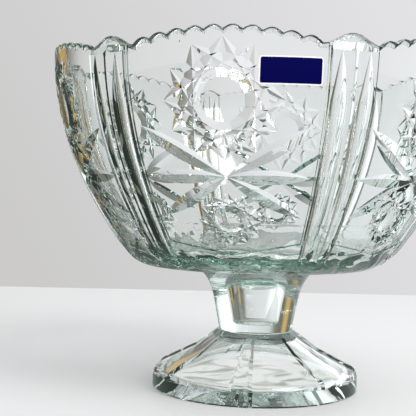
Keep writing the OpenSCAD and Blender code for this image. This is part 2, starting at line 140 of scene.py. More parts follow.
class PatternSizes(bpy.types.PropertyGroup):
    """The cut pattern of one panel and one pilaster."""

    panels: number("Panels round the bowl", 6, 5, 6)
    teeth: number("Teeth along each arch", 10, 6, 12)
    tooth_depth: length("Depth of the notch between two teeth", 2)
    pilaster: angle("Angle that each pilaster takes", 12.2)
    rise: length("How far a pilaster stands out of the wall", 2)
    face: angle("Angle that a pilaster's raised face takes", 11.2)
    draft: angle("Angle by which its sides slope out", 0.3)
    rise_low: length("Height at which a pilaster starts to stand out", 6.6)
    rise_out: length("Height over which it sinks back under the rim", 4)
    peak: angle("Angle that the rim's peak over a pilaster takes", 14.8)
    recess: length("Depth of the panels below the pilasters", 1.2)
    point_h: length("Height of the middle of a panel's lower edge", 13.4)
    edge_h: length("Height of that lower edge's ends", 19.6)
    flute_pitch: angle("Angle between a pilaster's flutes", 6.8)
    flute: angle("Width of a flute", 4.3)
    flute_depth: length("Depth of a flute", 2.8)
    flute_low: length("Height of a flute's lower end", 9.4)
    flute_high: length("Height of a flute's upper point", 112)
    flute_scoop: length("Length of a flute's rounded lower end", 5)
    flute_taper: length("Length of a flute's pointed upper end", 24)
    crease: length("Depth of the crease down a pilaster", 0.5)
    star_h: length("Height of the big star's centre", 52)
    ray_depth: length("Depth of the rays at their middles", 2.3)
    ray_slope: angle("Slope of a ray's sides, from the normal", 60)
    ray_up: length("Length of the climbing rays", 52)
    ray_up_angle: angle("Climb of those rays", 31)
    ray_level: length("Length of the level rays", 41)
    ray_down: length("Length of the falling rays", 42)
    ray_down_angle: angle("Fall of those rays", 33)
    hob_points: number("Points on each hobstar", 12, 10, 14)
    hob_skip: number("Points that one groove passes", 4, 3, 4)
    hob_slope: angle("Slope of a hobstar groove's sides", 64)
    hob_h: length("Height of the upper hobstar's centre", 88)
    hob_r: length("Radius of the upper hobstar", 30)
    hob_depth: length("Depth of the upper hobstar's grooves", 2.2)
    small_h: length("Height of the lower hobstar's centre", 30.5)
    small_r: length("Radius of the lower hobstar", 16)
    small_depth: length("Depth of the lower hobstar's grooves", 1.5)
    dish: length("Depth of the hollow in a hobstar's button", 0.6)


class StandSizes(bpy.types.PropertyGroup):
    """The stem, the foot and the joints between them and the bowl."""

    stem_h: length("Height of the stem", 34.8)
    stem_r: length("Radius of the stem at its lower end", 21)
    stem_taper: length("Gain in the stem's radius by its taper", 6.5)
    stem_flare: length("Further gain by its flare under the bowl", 5.5)
    stem_edge: length("Rounding of the stem's edges", 0.8)
    well_r: length("Radius of the well at its mouth", 12.5)
    well_floor_r: length("Radius of the well at its floor", 9)
    well_floor_t: length("Thickness of the glass under the well", 5)
    well_fillet: length("Rounding round the well's floor", 3)
    foot_h: length("Height of the foot", 33.8)
    foot_r: length("Radius of the foot", 59.6)
    band_h: length("Height of the band round the foot's edge", 8.4)
    shoulder: length("Radius of the rounded shoulder above the band", 5)
    foot_slope: angle("Fall of the foot's lower slope", 27)
    waist_r: length("Radius at which the foot grows steeper", 36.4)
    foot_panels: number("Panels round the foot", 7, 6, 9)
    rib: angle("Width of the rib between two foot panels", 8)
    foot_recess: length("Depth of the foot's panels", 1.2)
    foot_turn: angle("Turn of the foot's first rib", 1.5)
    foot_wall: length("Thickness of the foot's shell", 8)
    rest_w: length("Width of the resting ring", 6)
    rib_side: angle("Angle that a rib's sloping side takes", 2.2)
    seat_depth: length("Depth of the stem's seat in the foot's crown", 1)
    seat_gap: length("Clearance round the stem in its seat", 0.3)
    seat_lip: length("Width of the lip round that seat", 0.8)
    crown_ring: length("Plain ring above the foot's panels", 2.4)


class GlassLook(bpy.types.PropertyGroup):
    """The glass and the label's colours."""

    ior: factor("Index of refraction", 1.5)
    tint: colour("Colour left by light's way through thick glass", (0.24, 0.76, 0.6))
    # A painted glow of the glass, standing in for light that is not traced.
    stray: colour("Light gathered per metre of glass", (0.46, 0.62, 0.54))
    density: factor("Strength of the tint, per metre", 7.0)
    stand_density: factor("The tint's strength in the stem and foot", 3.5)
    seed: length("Width of the small bubbles in the glass", 0.9)
    seed_deep: length("Depth of the bubbles under the face", 2.5)
    navy: colour("Colour of the label's printed face", (0.001, 0.001, 0.065))
    white: colour("Colour of the label's border", (0.95, 0.95, 0.95))


class Studio(bpy.types.PropertyGroup):
    """The table, the wall behind it, the room and the camera."""

    lens: factor("Focal length of the camera, in millimetres", 81.64)
    distance: length("Camera's distance from the bowl's axis", 553.8)
    height: length("Camera's height above the table", 112.9)
    around: angle("Turn of the camera round the bowl, from -Y to +X", 8.78)
    pan: angle("Turn of the camera to the left of the bowl's axis", 3.03)
    pitch: angle("Tilt of the camera upwards", -0.94)
    roll: angle("Roll of the camera", 1.25)
    table_back: length("Distance of the table's back edge behind the axis", 530)
    table: colour("Colour of the table top", (0.82, 0.82, 0.82))
    # Painted light on the table inside the foot, with streaks of painted shade, seen only in the
    # glass.
    under_foot: colour("The table's tone inside the foot", (0.85, 0.86, 0.85))
    under_foot_dim: colour("Tone of the streaks inside the foot", (0.45, 0.47, 0.42))
    daylight: colour("The even light of the room", (0.86, 0.86, 0.87))
    back_left: colour("The wall's tone low on the left", (0.6, 0.595, 0.59))
    back_right: colour("The wall's tone high on the right", (0.8, 0.79, 0.82))
    # A painted reflection of the ceiling, seen only in the glass.
    ceiling: colour("The ceiling's tone in the glass", (0.22, 0.26, 0.24))
    lamp_power: factor("Power of the window's lamp, in watts", 14)


def settings(name):
    """The scene's own values of one group."""
    return getattr(bpy.context.scene, "bowl_" + name)


# ---------------- modelling tools


def active(obj):
    """Makes obj the only selected object, and the active one."""
    bpy.ops.object.select_all(action="DESELECT")
    obj.select_set(True)
    bpy.context.view_layer.objects.active = obj
    return obj


def named(name):
    """Names the active object and its mesh."""
    obj = bpy.context.active_object
    obj.name = obj.data.name = name
    return obj


def link(obj):
    """Puts a new object into the scene."""
    bpy.context.scene.collection.objects.link(obj)
    return obj


def added(name, step, **values):
    """The object that one operator adds, the only one selected."""
    bpy.ops.object.select_all(action="DESELECT")
    step(**values)
    return named(name)


def edited(obj, step=None, outwards=False, **values):
    """Runs one mesh operator on all of obj in edit mode, and may turn its faces outwards."""
    active(obj)
    bpy.ops.object.mode_set(mode="EDIT")
    bpy.ops.mesh.select_all(action="SELECT")
    if step:
        step(**values)
    if outwards:
        bpy.ops.mesh.normals_make_consistent(inside=False)
    bpy.ops.object.mode_set(mode="OBJECT")
    return obj


def tidy(obj):
    """Merges doubled points and turns all faces outwards."""
    return edited(obj, bpy.ops.mesh.remove_doubles, outwards=True, threshold=WELD)


def smooth(obj, degrees):
    """Smooth shading, but sharp where two faces meet at more than so many degrees."""
    active(obj)
    bpy.ops.object.shade_smooth_by_angle(angle=radians(degrees))
    return obj


def outline(name, points):
    """A chain of edges through (r, z) points, drawn by extruding one point along it."""
    r, z = points[0]
    obj = added(name, bpy.ops.mesh.primitive_plane_add, size=MM)
    bpy.ops.object.mode_set(mode="EDIT")
    bpy.ops.mesh.select_mode(type="VERT")
    bpy.ops.mesh.select_all(action="SELECT")
    bpy.ops.mesh.merge(type="CENTER")
    bpy.ops.transform.translate(value=(r, 0, z))
    for (r0, z0), (r1, z1) in zip(points, points[1:]):
        step = (r1 - r0, 0, z1 - z0)
        bpy.ops.mesh.extrude_region_move(TRANSFORM_OT_translate={"value": step})
    bpy.ops.object.mode_set(mode="OBJECT")
    return obj


def spun(name, points, steps):
    """Spins an outline all round the Z axis."""
    round_z = {"angle": 2 * pi, "center": (0, 0, 0), "axis": (0, 0, 1)}
    return tidy(edited(outline(name, points), bpy.ops.mesh.spin, steps=steps, **round_z))


def keep_side(obj, turn, side):
    """Cuts obj along the upright plane through the axis at a turn from -Y, and closes the cut."""
    out = (side * cos(turn), side * sin(turn), 0)
    keep = {"use_fill": True, "clear_outer": True, "threshold": EXACT}
    edited(obj, bpy.ops.mesh.bisect, plane_co=(0, 0, 0), plane_no=out, **keep)


def open_side(obj, turn):
    """Deletes the faces that lie in that plane."""
    active(obj)
    bpy.ops.object.mode_set(mode="EDIT")
    bpy.ops.mesh.select_mode(type="FACE")
    bpy.ops.mesh.select_all(action="DESELECT")
    bpy.ops.object.mode_set(mode="OBJECT")
    normal = Vector((cos(turn), sin(turn), 0))
    mesh = obj.data
    for polygon in mesh.polygons:
        reach = max(abs(mesh.vertices[i].co.dot(normal)) for i in polygon.vertices)
        polygon.select = reach < WELD / 4
    bpy.ops.object.mode_set(mode="EDIT")
    bpy.ops.mesh.delete(type="FACE")
    bpy.ops.object.mode_set(mode="OBJECT")


def block(name, across, along, place):
    """A closed cutter: a grid and a lid over it, shaped by place(u, v, lid), u and v -1 to 1."""
    grid = {"x_subdivisions": across, "y_subdivisions": along, "size": 2}
    obj = added(name, bpy.ops.mesh.primitive_grid_add, **grid)
    up = {"value": (0, 0, 1)}
    edited(obj, bpy.ops.mesh.extrude_region_move, TRANSFORM_OT_translate=up)
    for vertex in obj.data.vertices:
        u, v, lid = vertex.co
        vertex.co = place(u, v, lid > 0.5)
    return edited(obj, outwards=True)


def cut(obj, cutters, operation="DIFFERENCE"):
    """Cuts each cutter out of obj, one after the other, and deletes the cutters."""
    for cutter in cutters:
        active(obj)
        modifier = obj.modifiers.new("cut", "BOOLEAN")
        modifier.operation = operation
        modifier.solver = "MANIFOLD"
        modifier.object = cutter
        bpy.ops.object.modifier_apply(modifier=modifier.name)
        bpy.data.meshes.remove(cutter.data)
    return obj


def ringed(name, obj, count):
    """Copies of obj all round the Z axis, joined into one, with doubled points merged."""
    active(obj)
    for k in range(1, count):
        twin = link(obj.copy())
        twin.data = obj.data.copy()
        twin.data.transform(Matrix.Rotation(2 * pi * k / count, 4, "Z"))
        twin.select_set(True)
    bpy.ops.object.join()
    return tidy(named(name))


def finish(obj, material, *nodes, slot):
    """Gives a piece its material and body, and hides the CAD nodes that it stands for."""
    obj.data.materials.clear()
    obj.data.materials.append(material)
    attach(obj, "root")
    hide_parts(*nodes)


def evenly(start, end, steps):
    """Numbers from start to end, both among them, in so many equal steps."""
    return [start + (end - start) * i / steps for i in range(steps + 1)]


def arc(centre, radius, start, end, steps):
    """Points along an arc, between two angles in radians."""
    x, y = centre
    turns = evenly(start, end, steps)
    return [(x + radius * cos(t), y + radius * sin(t)) for t in turns]


def turned(r, turn, z):
    """The point at a radius and a turn from -Y towards +X, at height z."""
    return Vector((r * sin(turn), -r * cos(turn), z))


# ---------------- the bowl's wall


class Wall:
    """The wall's outer line: an upper arc that ends upright, and a lower arc that meets it."""

    def __init__(self, bowl, pattern):
        self.bowl = bowl
        self.recess = pattern.recess
        lean = bowl.knee_lean
        self.upper_rad = (bowl.rim_r - bowl.knee_r) / (1 - cos(lean))
        self.upper = (bowl.rim_r - self.upper_rad, bowl.knee_h + self.upper_rad * sin(lean))
        across = bowl.knee_r - bowl.heel_r
        up = bowl.knee_h - bowl.heel_h
        chord_lean = atan2(across, up)
        self.lower_rad = hypot(across, up) / (2 * sin(chord_lean - lean))
        self.lower = (
            bowl.knee_r - self.lower_rad * cos(lean),
            bowl.knee_h + self.lower_rad * sin(lean),
        )
        self.base_z = corner("upper_bond", 1, 2)

    def radius(self, h, depth=0.0):
        """Radius of the wall at height h, a depth under its outer face."""
        if h >= self.upper[1]:
            return self.bowl.rim_r - depth
        (r, z), rad = self.lower, self.lower_rad
        if h >= self.bowl.knee_h + depth * sin(self.bowl.knee_lean):
            (r, z), rad = self.upper, self.upper_rad
        return r + sqrt((rad - depth) ** 2 - (z - h) ** 2)

    def lean(self, h):
        """Lean of the wall at height h, from vertical."""
        if h >= self.upper[1]:
            return 0.0
        if h >= self.bowl.knee_h:
            return asin((self.upper[1] - h) / self.upper_rad)
        return asin((self.lower[1] - h) / self.lower_rad)

    def line(self, start, end, depth, steps):
        """Points (r, h) of the wall from one height to another."""
        return [(self.radius(h, depth), h) for h in evenly(start, end, steps)]

    def point(self, turn, h, depth):
        """The point of the wall at a turn from the panel's middle, a depth under its face."""
        lean = self.lean(h)
        r = self.radius(h) - depth * cos(lean)
        return turned(r, turn, self.base_z + h + depth * sin(lean))

    def spot(self, h, x, y, depth):
        """The same, for a place x along and y up the panel from a centre at height h."""
        up = h + y * cos(self.lean(h + y / 2))
        return self.point(x / self.radius(up, self.recess), up, self.recess + depth)


LIFT = 1.0 * MM  # how far a groove's cutter stands out of the face that it cuts
PAST = 4.0 * MM  # how far a large cutter reaches past the glass
HAIR = 0.05 * MM  # how far faces that would lie in one plane are held apart
TOUCH = 0.05 * MM  # how far a bonded face lies in its bond film
ROOT = 1.5 * MM  # how deep a pilaster is rooted in the wall
OVERRUN = 0.15  # how far it runs on past its ends, as a share of their slopes
PILASTER_STEPS = 30
FLUTE_LEAST = 0.03  # the least width of a flute's tips, as a share of its width
FLUTE_POINT = 0.8  # the curve of a flute's pointed end
FLUTE_SPREAD = radians(0.3)  # how much wider a flute's cutter is over the wall
CREASE_END = 12  # a crease fades out over one part in so many of its half length
BUTTON_GAP = 0.8  # how far a button's dish keeps off the grooves, in half widths
PANEL_START = radians(12)  # the turn of the foot's shoulder at which its panels start
SECTOR_LAP = radians(0.5)  # how far the rim's cutter reaches past a sector's sides
BOSS_EDGE = 0.6 * MM  # the chamfer round the boss's end


def groove(wall, h, p, q, depth, slope, steps=16):
    """A V-groove of the pattern, deepest at its middle, that runs out to a point at both ends."""
    along = Vector(q) - Vector(p)
    side = Vector((-along.y, along.x)).normalized()

    def place(u, v, lid):
        t = (v + 1) / 2
        middle = Vector(p) + along * t
        deep = depth * (1 - v * v) - HAIR
        wide = (deep + LIFT) * tan(slope)
        if u == 0 and not lid:
            return wall.spot(h, *middle, deep)
        level = -LIFT - (HAIR if lid else 0)
        return wall.spot(h, *(middle + side * wide * u), level)

    return block("groove", 2, steps, place)


def star(wall, pattern):
    """The big star's rays."""
    rays = (
        (pattern.ray_up, pattern.ray_up_angle),
        (pattern.ray_level, 0.0),
        (pattern.ray_down, -pattern.ray_down_angle),
    )
    for reach, climb in rays:
        for side in (-1, 1):
            tip = (side * reach * cos(climb), reach * sin(climb))
            yield groove(wall, pattern.star_h, (0, 0), tip, pattern.ray_depth, pattern.ray_slope)


def dish(wall, h, radius, depth):
    """The shallow hollow in a hobstar's button."""

    def place(u, v, lid):
        # A square grid is drawn in to a disc.
        reach = max(abs(u), abs(v))
        out = hypot(u, v)
        scale = radius * reach / out if out else 0.0
        level = -LIFT if lid else depth * (1 - reach * reach) - HAIR
        return wall.spot(h, u * scale, v * scale, level)

    return block("dish", 12, 12, place)


def hobstar(wall, pattern, h, r, depth):
    """A star of straight grooves, each from one point to the point hob_skip places on."""
    count = pattern.hob_points
    step = 2 * pi / count
    for i in range(count):
        ends = [pi / 2 + step * (i + k) for k in (0, pattern.hob_skip)]
        p, q = [(r * cos(a), r * sin(a)) for a in ends]
        yield groove(wall, h, p, q, depth, pattern.hob_slope)
    ring = r * cos(step * pattern.hob_skip / 2)
    half_width = depth * tan(pattern.hob_slope)
    yield dish(wall, h, ring - BUTTON_GAP * half_width, pattern.dish)


def rise(pattern, h):
    """How far a pilaster stands out of the wall at height h."""
    full_low = pattern.flute_low + pattern.flute_scoop
    into = (h - pattern.rise_low) / (full_low - pattern.rise_low)
    out = (pattern.flute_high + pattern.rise_out - h) / pattern.rise_out
    return pattern.rise * min(1, into, out)


def pilaster(wall, pattern, turn):
    """The raised face of a pilaster, rooted in the wall."""
    full_low = pattern.flute_low + pattern.flute_scoop
    low = pattern.rise_low - OVERRUN * (full_low - pattern.rise_low)
    high = pattern.flute_high + (1 + OVERRUN) * pattern.rise_out
    heights = [low, *evenly(full_low, pattern.flute_high, PILASTER_STEPS), high]

    def place(u, v, lid):
        h = heights[round((v + 1) / 2 * (PILASTER_STEPS + 2))]
        if lid:
            return wall.point(turn + u * pattern.face / 2, h, -rise(pattern, h))
        return wall.point(turn + u * (pattern.face / 2 + pattern.draft), h, ROOT)

    return block("pilaster", 5, PILASTER_STEPS + 2, place)


def flute(wall, pattern, turn):
    """One round-bottomed flute of a pilaster, with a rounded lower end and a pointed upper one."""
    low, high = pattern.flute_low, pattern.flute_high

    def size(h):
        if h < low + pattern.flute_scoop:
            left = (low + pattern.flute_scoop - h) / pattern.flute_scoop
            return sqrt(max(0.0, 1 - left**2))
        if h > high - pattern.flute_taper:
            return max(0.0, (high - h) / pattern.flute_taper) ** FLUTE_POINT
        return 1.0

    def place(u, v, lid):
        # More rings near the ends, where the flute's width changes.
        t = (1 - cos(pi * (v + 1) / 2)) / 2
        h = low + (high - low) * t
        k = max(size(h), FLUTE_LEAST)
        wide = k * pattern.flute / 2
        out = max(0.0, rise(pattern, h))
        if lid:
            return wall.point(turn + u * (wide + FLUTE_SPREAD), h, -LIFT - out)
        deep = k * pattern.flute_depth * wall.radius(h) / wall.bowl.rim_r
        return wall.point(turn + u * wide, h, deep * (1 - u * u) - HAIR - out)

    return block("flute", 10, 48, place)


def crease(wall, pattern, turn):
    """The fine crease down the middle of a pilaster."""
    low = pattern.flute_low + pattern.flute_scoop
    high = pattern.flute_high + pattern.rise_out / 2

    def place(u, v, lid):
        h = low + (high - low) * (v + 1) / 2
        out = rise(pattern, h)
        deep = pattern.crease * min(1.0, CREASE_END * (1 - abs(v))) - HAIR
        wide = (deep + LIFT) * tan(pattern.ray_slope) / wall.radius(h)
        if u == 0 and not lid:
            return wall.point(turn, h, deep - out)
        return wall.point(turn + u * wide, h, -LIFT - out - (HAIR if lid else 0))

    return block("crease", 2, 24, place)


def panel_cut(wall, pattern, half_panel):
    """The panel's field, sunk below the pilasters, with a pointed lower edge."""
    top = wall.bowl.rim_h + wall.bowl.arch_rise + PAST

    def place(u, v, lid):
        turn = u * half_panel
        edge = pattern.point_h + (pattern.edge_h - pattern.point_h) * abs(u)
        h = edge + (top - edge) * (v + 1) / 2
        return wall.point(turn, h, -PAST if lid else pattern.recess)

    return block("panel_cut", 48, 60, place)


def rim_line(bowl, pattern, turn):
    """Height of the rim at a turn from the middle of a panel."""
    pitch = 2 * pi / pattern.panels
    half_arch = (pitch - pattern.peak) / 2
    out = abs(turn)
    if out <= half_arch:
        phase = pi / 2 * pattern.teeth * (turn / half_arch + 1)
        arch = (bowl.arch_rise - pattern.tooth_depth) * (1 - (out / half_arch) ** 2)
        return bowl.rim_h + arch + pattern.tooth_depth * abs(sin(phase))
    phase = 2 * pi * (pitch / 2 - out) / pattern.peak
    return bowl.rim_h + bowl.peak_rise * (1 + cos(phase)) / 2


def above_rim(wall, pattern, pitch):
    """All that stands above the rim's line, whose edges it leaves rounded."""
    bowl = wall.bowl
    middle = bowl.rim_r - bowl.wall / 2
    top = bowl.rim_h + bowl.arch_rise + PAST

    def place(u, v, lid):
        turn = v * (pitch / 2 + SECTOR_LAP)
        fold = turn if abs(turn) <= pitch / 2 else copysign(pitch - abs(turn), -turn)
        r = middle + u * (bowl.wall / 2 + HAIR)
        h = rim_line(bowl, pattern, fold) - bowl.rim_round * abs(u) ** 4
        if lid:
            r = middle + u * (bowl.wall / 2 + PAST)
            h = top
        return turned(r, turn, wall.base_z + h)

    return block("above_rim", 12, 240, place)


def make_bowl():
    """One sector of the bowl, from pilaster to pilaster, cut and copied round the axis."""
    bowl, pattern, stand = settings("bowl"), settings("pattern"), settings("stand")
    wall = Wall(bowl, pattern)
    pitch = 2 * pi / pattern.panels
    half_panel = (pitch - pattern.pilaster) / 2
    top = bowl.rim_h + bowl.arch_rise + MM

    heel_turn = pi / 2 - wall.lean(bowl.heel_h)
    heel_rad = (bowl.heel_h - bowl.base_rise) / (1 - cos(heel_turn))
    heel = (bowl.heel_r - heel_rad * sin(heel_turn), bowl.base_rise + heel_rad)
    inner_knee = bowl.knee_h + bowl.wall * sin(bowl.knee_lean)
    inner_rad = wall.lower_rad - bowl.wall - bowl.floor_fillet
    fillet_h = bowl.base_t + bowl.floor_fillet
    fillet_r = wall.lower[0] + sqrt(inner_rad**2 - (wall.lower[1] - fillet_h) ** 2)
    fillet_end = -asin((wall.lower[1] - fillet_h) / inner_rad)
    fillet_top = fillet_h + bowl.floor_fillet * sin(fillet_end)
    stem_top_r = stand.stem_r + stand.stem_taper + stand.stem_flare
    boss_top = stand.well_r - stand.seat_gap
    boss_low = boss_top - (stand.well_r - stand.well_floor_r) * bowl.boss_h / stand.stem_h
    profile = (
        [(0, -bowl.boss_h), (boss_low - BOSS_EDGE, -bowl.boss_h)]
        + [(boss_low, -bowl.boss_h + BOSS_EDGE), (boss_top, 0), (stem_top_r, 0)]
        + arc(heel, heel_rad, -pi / 2, heel_turn - pi / 2, 12)
        + wall.line(bowl.heel_h, bowl.knee_h, 0, 20)[1:]
        + wall.line(bowl.knee_h, top, 0, 30)[1:]
        + wall.line(top, inner_knee, bowl.wall, 30)
        + wall.line(inner_knee, fillet_top, bowl.wall, 14)[1:]
        + arc((fillet_r, fillet_h), bowl.floor_fillet, fillet_end, -pi / 2, 12)[1:]
        + [(0, bowl.base_t)]
    )
    points = [(r, wall.base_z + h) for r, h in profile]
    blank = spun("bowl_glass", points, steps=360)
    raised = ringed("pilasters", pilaster(wall, pattern, pitch / 2), pattern.panels)
    cut(blank, [raised], "UNION")
    for side in (-1, 1):
        keep_side(blank, side * pitch / 2, side)

    cutters = [above_rim(wall, pattern, pitch), panel_cut(wall, pattern, half_panel)]
    cutters += list(star(wall, pattern))
    cutters += list(hobstar(wall, pattern, pattern.hob_h, pattern.hob_r, pattern.hob_depth))
    cutters += list(hobstar(wall, pattern, pattern.small_h, pattern.small_r, pattern.small_depth))
    for side in (-1, 1):
        cutters.append(flute(wall, pattern, side * (pitch - pattern.flute_pitch) / 2))
    cut(blank, cutters)
    for side in (-1, 1):
        open_side(blank, side * pitch / 2)
    bowl_glass = ringed("bowl_glass", blank, pattern.panels)
    creases = ringed("creases", crease(wall, pattern, pitch / 2), pattern.panels)
    return cut(bowl_glass, [creases])


# ---------------- the stem, the foot and the bonds


def make_stem():
    """The flared stem with its well, its edges softened."""
    stand = settings("stand")
    base = corner("lower_bond", 1, 2)
    edge = stand.stem_edge
    outer = [
        (stand.stem_r + stand.stem_taper * t + stand.stem_flare * t**6, stand.stem_h * t)
        for t in evenly(0, 1, 32)[2:]
    ]
    well = (stand.well_floor_r - stand.well_fillet, stand.well_floor_t + stand.well_fillet)
    profile = (
        [(0, -TOUCH), (stand.stem_r - edge, -TOUCH)]
        + arc((stand.stem_r - edge, edge), edge, -pi / 2, 0, 4)[1:]
        + outer
        + [(stand.well_r, stand.stem_h)]
        + arc(well, stand.well_fillet, 0, -pi / 2, 8)
        + [(0, stand.well_floor_t)]
    )
    return spun("stem_glass", [(r, base + z) for r, z in profile], steps=192)


def foot_line(stand, shift, first_turn):
    """The foot's outer line from a turn of its shoulder to the crown, moved by shift."""
    slope = stand.foot_slope
    centre = (stand.foot_r - stand.shoulder + shift[0], stand.band_h + shift[1])
    end_r = stand.foot_r - stand.shoulder + stand.shoulder * sin(slope)
    end_z = stand.band_h + stand.shoulder * cos(slope)
    waist_z = end_z + (end_r - stand.waist_r) * tan(slope)
    crown_r = stand.stem_r + stand.seat_gap + stand.seat_lip
    return arc(centre, stand.shoulder, first_turn, pi / 2 - slope, 10) + [
        (stand.waist_r + shift[0], waist_z + shift[1]),
        (crown_r + shift[0], stand.foot_h + shift[1]),
    ]


def along(points, t):
    """The point at a share t of the way along a chain of points, each link an equal share."""
    place = t * (len(points) - 1)
    i = min(int(place), len(points) - 2)
    (r0, z0), (r1, z1) = points[i], points[i + 1]
    return r0 + (r1 - r0) * (place - i), z0 + (z1 - z0) * (place - i)


def make_foot():
    """The foot: a hollow bell with panels between ribs, and a seat for the stem."""
    stand = settings("stand")
    slope = stand.foot_slope
    down = (-sin(slope), -cos(slope))
    under = [stand.foot_wall * d for d in down]
    line = foot_line(stand, (0, 0), 0)
    inside = foot_line(stand, under, pi / 2 - slope)[-3:]
    waist_r, waist_z = inside[1]
    (_, outer_waist_z), (crown_r, crown_z) = line[-2:]
    steep = (crown_z - outer_waist_z) / (stand.waist_r - crown_r)
    roof = stand.foot_h - stand.seat_depth - stand.foot_wall
    seat_r = stand.stem_r + stand.seat_gap
    rest_r = stand.foot_r - stand.rest_w
    profile = (
        [(0, stand.foot_h - stand.seat_depth), (seat_r, stand.foot_h - stand.seat_depth)]
        + [(seat_r, stand.foot_h)]
        + list(reversed(line))
        + [(stand.foot_r, MM), (stand.foot_r - MM, 0), (rest_r, 0)]
        + [(waist_r, waist_z)]
        + [(waist_r - (roof - waist_z) / steep, roof), (0, roof)]
    )
    foot = spun("foot_glass", list(reversed(profile)), steps=252)

    sunk = [stand.foot_recess * d for d in down]
    panel_line = foot_line(stand, sunk, PANEL_START)
    top_r = crown_r + stand.crown_ring
    top_z = panel_line[-1][1] - (top_r - panel_line[-1][0]) * steep
    panel_line[-1] = (top_r, top_z)
    half = pi / stand.foot_panels - stand.rib / 2
    slant = stand.rib_side

    def place_panel(k):
        middle = stand.foot_turn + 2 * pi * (k + 0.5) / stand.foot_panels

        def place(u, v, lid):
            r, z = along(panel_line, (v + 1) / 2)
            if lid:
                r, z = r + PAST, z + (PAST if v > -1 else 0)
            reach = half + slant * PAST / stand.foot_recess if lid else half - slant
            return turned(r, middle + u * reach, z)

        return place

    steps = len(panel_line) - 1
    panels = [block("panel", 24, steps, place_panel(k)) for k in range(stand.foot_panels)]
    return cut(foot, panels)


def make_bond(node, inner):
    """A bond film that wets both of the faces it joins."""
    low, high = corner(node, 0, 2) - TOUCH, corner(node, 1, 2) + TOUCH
    outer = corner(node, 1, 0)
    profile = [(inner, low), (outer, low), (outer, high), (inner, high)]
    if inner:
        profile.append(profile[0])
    return spun(node + "_film", profile, steps=128)


# ---------------- materials


def fill(tree, node, *first, **others):
    """Gives a node's first inputs, and others by name, a number, a colour or an output each."""
    inputs = list(zip(node.inputs, first))
    inputs += [(node.inputs[name.replace("_", " ")], value) for name, value in others.items()]
    for socket, value in inputs:
        if isinstance(value, bpy.types.NodeSocket):
            tree.links.new(value, socket)
        else:
            socket.default_value = value if isinstance(value, (int, float)) else (*value, 1)
    return node


def new_node(tree, kind, *first, **others):
    """A new shader node, its inputs filled."""
    return fill(tree, tree.nodes.new("ShaderNode" + kind), *first, **others)


def maths(tree, operation, first, second):
    """The result of one operation on two numbers or outputs."""
    node = new_node(tree, "Math", first, second)
    node.operation = operation
    return node.outputs["Value"]


def blend(tree, share, a, b, kind="MIX"):
    """A colour between two, each a colour or an output."""
    node = new_node(tree, "Mix")
    node.data_type = "RGBA"
    node.blend_type = kind
    return fill(tree, node, Factor=share, A=a, B=b).outputs["Result"]


def between(tree, value, low, high):
    """Where value lies between low and high, from 0 to 1."""
    span = new_node(tree, "MapRange", From_Min=low, From_Max=high, Value=value)
    return span.outputs["Result"]


def coordinates(tree, kind):
    """A point's coordinates of one kind: the vector, and its x, y and z."""
    vector = new_node(tree, "TexCoord").outputs[kind]
    return vector, *new_node(tree, "SeparateXYZ", Vector=vector).outputs


def clouds(tree, vector, scale, distortion):
    """Soft random patches, from 0 to 1."""
    values = {"Scale": scale, "Detail": 1.0, "Distortion": distortion}
    return new_node(tree, "TexNoise", Vector=vector, **values).outputs["Fac"]


def new_material(name, **values):
    """A new node material and its tree, its shader's inputs filled."""
    material = bpy.data.materials.new(name)
    material.use_nodes = True
    tree = material.node_tree
    fill(tree, tree.nodes["Principled BSDF"], **values)
    return material, tree


def glass(name, look, density, waves=None, base=0):
    """Pressed glass: clear, tinted by light's way through it, waved below a height.

    waves: the heights over base at which they start and are full, their scale and their depth.
    """
    clear = {"Base_Color": (1, 1, 1), "Roughness": 0.0, "Transmission_Weight": 1.0}
    material, tree = new_material(name, IOR=look.ior, **clear)
    tint = new_node(tree, "VolumeAbsorption", Color=look.tint, Density=density)
    # Painted glow: light that wanders in the thick base for more bounces than are traced is
    # painted back as this glow of the glass.
    stray = new_node(tree, "Emission", Color=look.stray, Strength=density / look.density)
    inside = new_node(tree, "AddShader", tint.outputs["Volume"], stray.outputs["Emission"])
    fill(tree, tree.nodes["Material Output"], Volume=inside.outputs["Shader"])
    if waves:
        start, full, scale, deep = waves
        vector, _, _, z = coordinates(tree, "Object")
        noise = clouds(tree, vector, scale, 1.0)
        height = maths(tree, "MULTIPLY", between(tree, z, base + start, base + full), noise)
        bump = new_node(tree, "Bump", Distance=deep, Height=height)
        fill(tree, tree.nodes["Principled BSDF"], Normal=bump.outputs["Normal"])
    return material


GRAIN, GRAIN_DEPTH = 900.0, 0.06
FILM_SHINE = 0.06


def film(name, tone, roughness):
    """A printed label film: an even colour with a faint grain in its gloss."""
    values = {"Base_Color": tone, "Specular_IOR_Level": FILM_SHINE}
    material, tree = new_material(name, **values)
    vector = new_node(tree, "TexCoord").outputs["Object"]
    grain = new_node(tree, "TexNoise", Vector=vector, Scale=GRAIN).outputs["Fac"]
    ends = {"To_Min": roughness - GRAIN_DEPTH, "To_Max": roughness + GRAIN_DEPTH}
    span = new_node(tree, "MapRange", Value=grain, **ends)
    fill(tree, tree.nodes["Principled BSDF"], Roughness=span.outputs["Result"])
    return material


# ---------------- the table, the room and the camera


def in_glass(tree):
    """1 for a view by way of the glass, through it or off it, and 0 for any other."""
    path = new_node(tree, "LightPath").outputs
    return maths(tree, "MAXIMUM", path["Is Transmission Ray"], path["Is Glossy Ray"])


